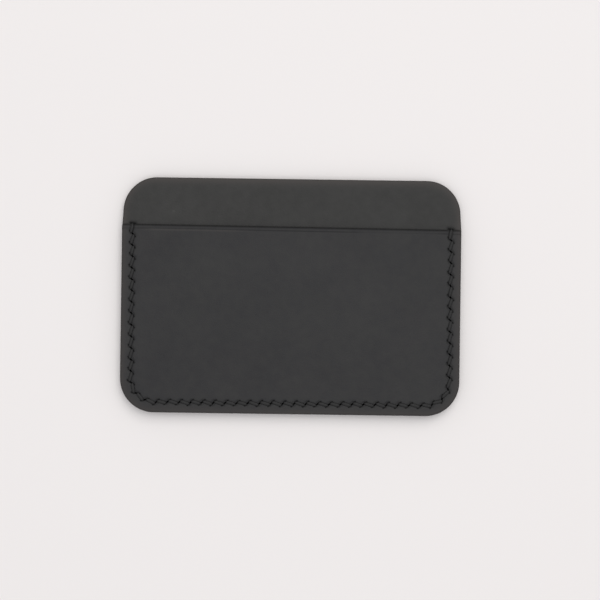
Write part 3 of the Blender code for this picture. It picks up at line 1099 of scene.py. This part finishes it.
# painted shade along the line that the mouth wears into the tall panel
MOUTH_LINE_PAINTED_SHADE = 0.45
# painted shade along the pockets' mouth edge, for the dark gap under it
MOUTH_EDGE_WIDTH = 0.32 * MM
MOUTH_EDGE_PAINTED_SHADE = 0.65
# painted shade along the crease, by its place across the holder
CREASE_PAINTED_SHADE = (0.3, 0, 0, 0.4, 0.4, 0.1, 0.1, 0.4)
# painted highlight on the crease's lower wall, in the left third
CREASE_HIGHLIGHT_X = (-45, -40, -20, -10)  # in millimetres
CREASE_HIGHLIGHT = (0, 1, 1, 0)
CREASE_HIGHLIGHT_STRENGTH = 0.45
CREASE_HIGHLIGHT_OFFSET = 0.25 * MM  # under the crease
CREASE_HIGHLIGHT_WIDTH = 0.16 * MM
# painted shade on the thread where it dives into a slit
THREAD_SHADE_START, THREAD_SHADE_FULL = -0.05 * MM, 0.25 * MM  # under a pocket's surface


def faded(distance, width):
    """1 at no distance, and fading out over the width."""
    return np.exp(-((distance / width) ** 2))


def dress_leather(piece, inside, is_tall):
    """Gives a leather panel its grain, its flesh side, a paler rim with a painted highlight, and painted
    shade.
    """
    piece.data.materials.append(panel_leather if is_tall else pocket_leather)
    piece.data.materials.append(flesh)
    piece.data.polygons.foreach_set("material_index", inside.astype(np.int32))
    p = points_of(piece)[:, :2]
    inset = edge_distance(p) if is_tall else u_distance(p)
    rim = (TALL_RIM if is_tall else POCKET_RIM) * faded(np.maximum(inset, 0), RIM_WIDTH)
    under_mouth = mouth_distance(p)
    if is_tall:
        # painted shade in the end holes' dimples and along the line that the mouth wears into the tall
        # panel
        dark = END_HOLE_PAINTED_SHADE * faded(line_distance(p, end_marks), END_MARK_WIDTH)
        dark = np.maximum(dark, MOUTH_LINE_PAINTED_SHADE * faded(under_mouth, WORN_LINE_WIDTH))
    else:
        # painted shade in the slits and the cuts of the pocket
        dark = SLIT_PAINTED_SHADE * faded(cut_distance(p), SLIT_SHADE_WIDTH)
        # painted shade along the mouth's edge
        mouth_edge_shade = MOUTH_EDGE_PAINTED_SHADE * faded(np.maximum(under_mouth, 0), MOUTH_EDGE_WIDTH)
        # painted shade along the crease
        crease_shade = np.interp(p[:, 0] / MM, CREASE_X, CREASE_PAINTED_SHADE)
        crease_line = faded(under_mouth - CREASE_OFFSET, CREASE_WIDTH)
        dark = np.maximum(dark, np.maximum(mouth_edge_shade, crease_shade * crease_line))
        # a painted highlight on the crease's lower wall, kept with the rim
        crease_highlight = CREASE_HIGHLIGHT_STRENGTH * np.interp(p[:, 0] / MM, CREASE_HIGHLIGHT_X, CREASE_HIGHLIGHT)
        crease_highlight_line = faded(under_mouth - CREASE_OFFSET - CREASE_HIGHLIGHT_OFFSET, CREASE_HIGHLIGHT_WIDTH)
        rim = np.maximum(rim, crease_highlight * crease_highlight_line)
    # rim holds the burnished colour and painted highlights; pressed holds painted shade
    mark_points(piece, "rim", rim)
    mark_points(piece, "pressed", dark)


dress_leather(tall_panel, tall_sides == 1, True)
dress_leather(front_pocket, front_flesh, False)
dress_leather(rear_pocket, rear_flesh, False)
thread.data.materials.append(thread_wax)
# painted shade, deepening as the thread sinks into its slits
depth = SURFACE - np.abs(points_of(thread)[:, 2] - MIDDLE_Z)
mark_points(thread, "thread_painted_shade", smooth(depth, THREAD_SHADE_START, THREAD_SHADE_FULL))
for film in (front_cement, rear_cement):
    film.data.materials.append(cement)
for piece in (tall_panel, front_pocket, rear_pocket, thread, front_cement, rear_cement):
    print(piece.name, "is", ", ".join(material.name for material in piece.data.materials))

# %% [markdown]
# ## Joining the frame
#
# The holder has no moving parts, so every piece rides on its one body. Each one stands for the
# plain solid of the same piece.

for piece, node, slot in (
    (tall_panel, "centre_panel", "black_leather"),
    (front_pocket, "front_pocket", "black_leather"),
    (rear_pocket, "rear_pocket", "black_leather"),
    (thread, "saddle_stitch_thread", "waxed_thread"),
    (front_cement, "front_seam_cement", "seam_cement"),
    (rear_cement, "rear_seam_cement", "seam_cement"),
):
    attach(piece, "root")
    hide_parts(node)
    print(piece.name, "stands for", node)

# %% [markdown]
# ## Floor, light and camera
#
# The holder lies on a plain pale table. Daylight comes from a wide soft source beyond its top
# edge, a little to the right. A second soft source overhead and the bright room fill the shadows.
# The camera looks straight down, turned by less than a degree, as when it is held by hand.

# %% Floor
FLOOR_REACH = 3.0  # metres from the middle to each side
corners = [(x * FLOOR_REACH, y * FLOOR_REACH, 0) for x, y in ((-1, -1), (1, -1), (1, 1), (-1, 1))]
floor = new_piece("pale_table", corners, [(0, 1, 2, 3)])
matte_table = new_material("pale_matte_table", {"Roughness": 0.7, "Base Color": linear("#e9e6e5")})[0]
floor.data.materials.append(matte_table)
print(floor.name, "reaches", FLOOR_REACH, "m")

# %% Light
CENTRE = Vector((0, 0, MIDDLE_Z))


def soft_light(name, place, size, power, colour):
    """A square area light that faces the holder."""
    light = bpy.data.lights.new(name, "AREA")
    light.size = size
    light.energy = power
    light.color = linear(colour)[:3]
    lamp = bpy.data.objects.new(name, light)
    lamp.location = CENTRE + Vector(place)
    lamp.rotation_euler = (CENTRE - lamp.location).to_track_quat("-Z", "Y").to_euler()
    bpy.context.scene.collection.objects.link(lamp)
    print(name, power, "W")


soft_light("window", (0.35, 1.0, 1.5), 1.3, 11.5, "#fffdfa")
soft_light("overhead", (0.0, -0.1, 1.6), 1.6, 7.5, "#ffffff")

world = bpy.data.worlds.new("bright_room")
bpy.context.scene.world = world
world.use_nodes = True
backdrop = world.node_tree.nodes["Background"].inputs
backdrop["Color"].default_value = linear("#fbfafc")
backdrop["Strength"].default_value = 0.62

# %% Camera
CAMERA_DISTANCE = 0.4138
CAMERA_TURN = math.radians(0.8)
CAMERA_ASIDE = mm(2.71, -0.97)  # from over the holder's middle
lens = bpy.data.cameras.new("camera")
lens.lens = 85
lens.sensor_width = 36
lens.clip_start = 0.01
camera = bpy.data.objects.new("camera", lens)
camera.location = (*CAMERA_ASIDE, pocket_high.z + CAMERA_DISTANCE)
camera.rotation_euler = (0, 0, CAMERA_TURN)
bpy.context.scene.collection.objects.link(camera)
bpy.context.scene.camera = camera
bpy.context.scene.view_settings.view_transform = "Standard"
print(f"camera {1000 * CAMERA_DISTANCE:.0f} mm over the holder")

# %% Update the scene
bpy.context.view_layer.update()
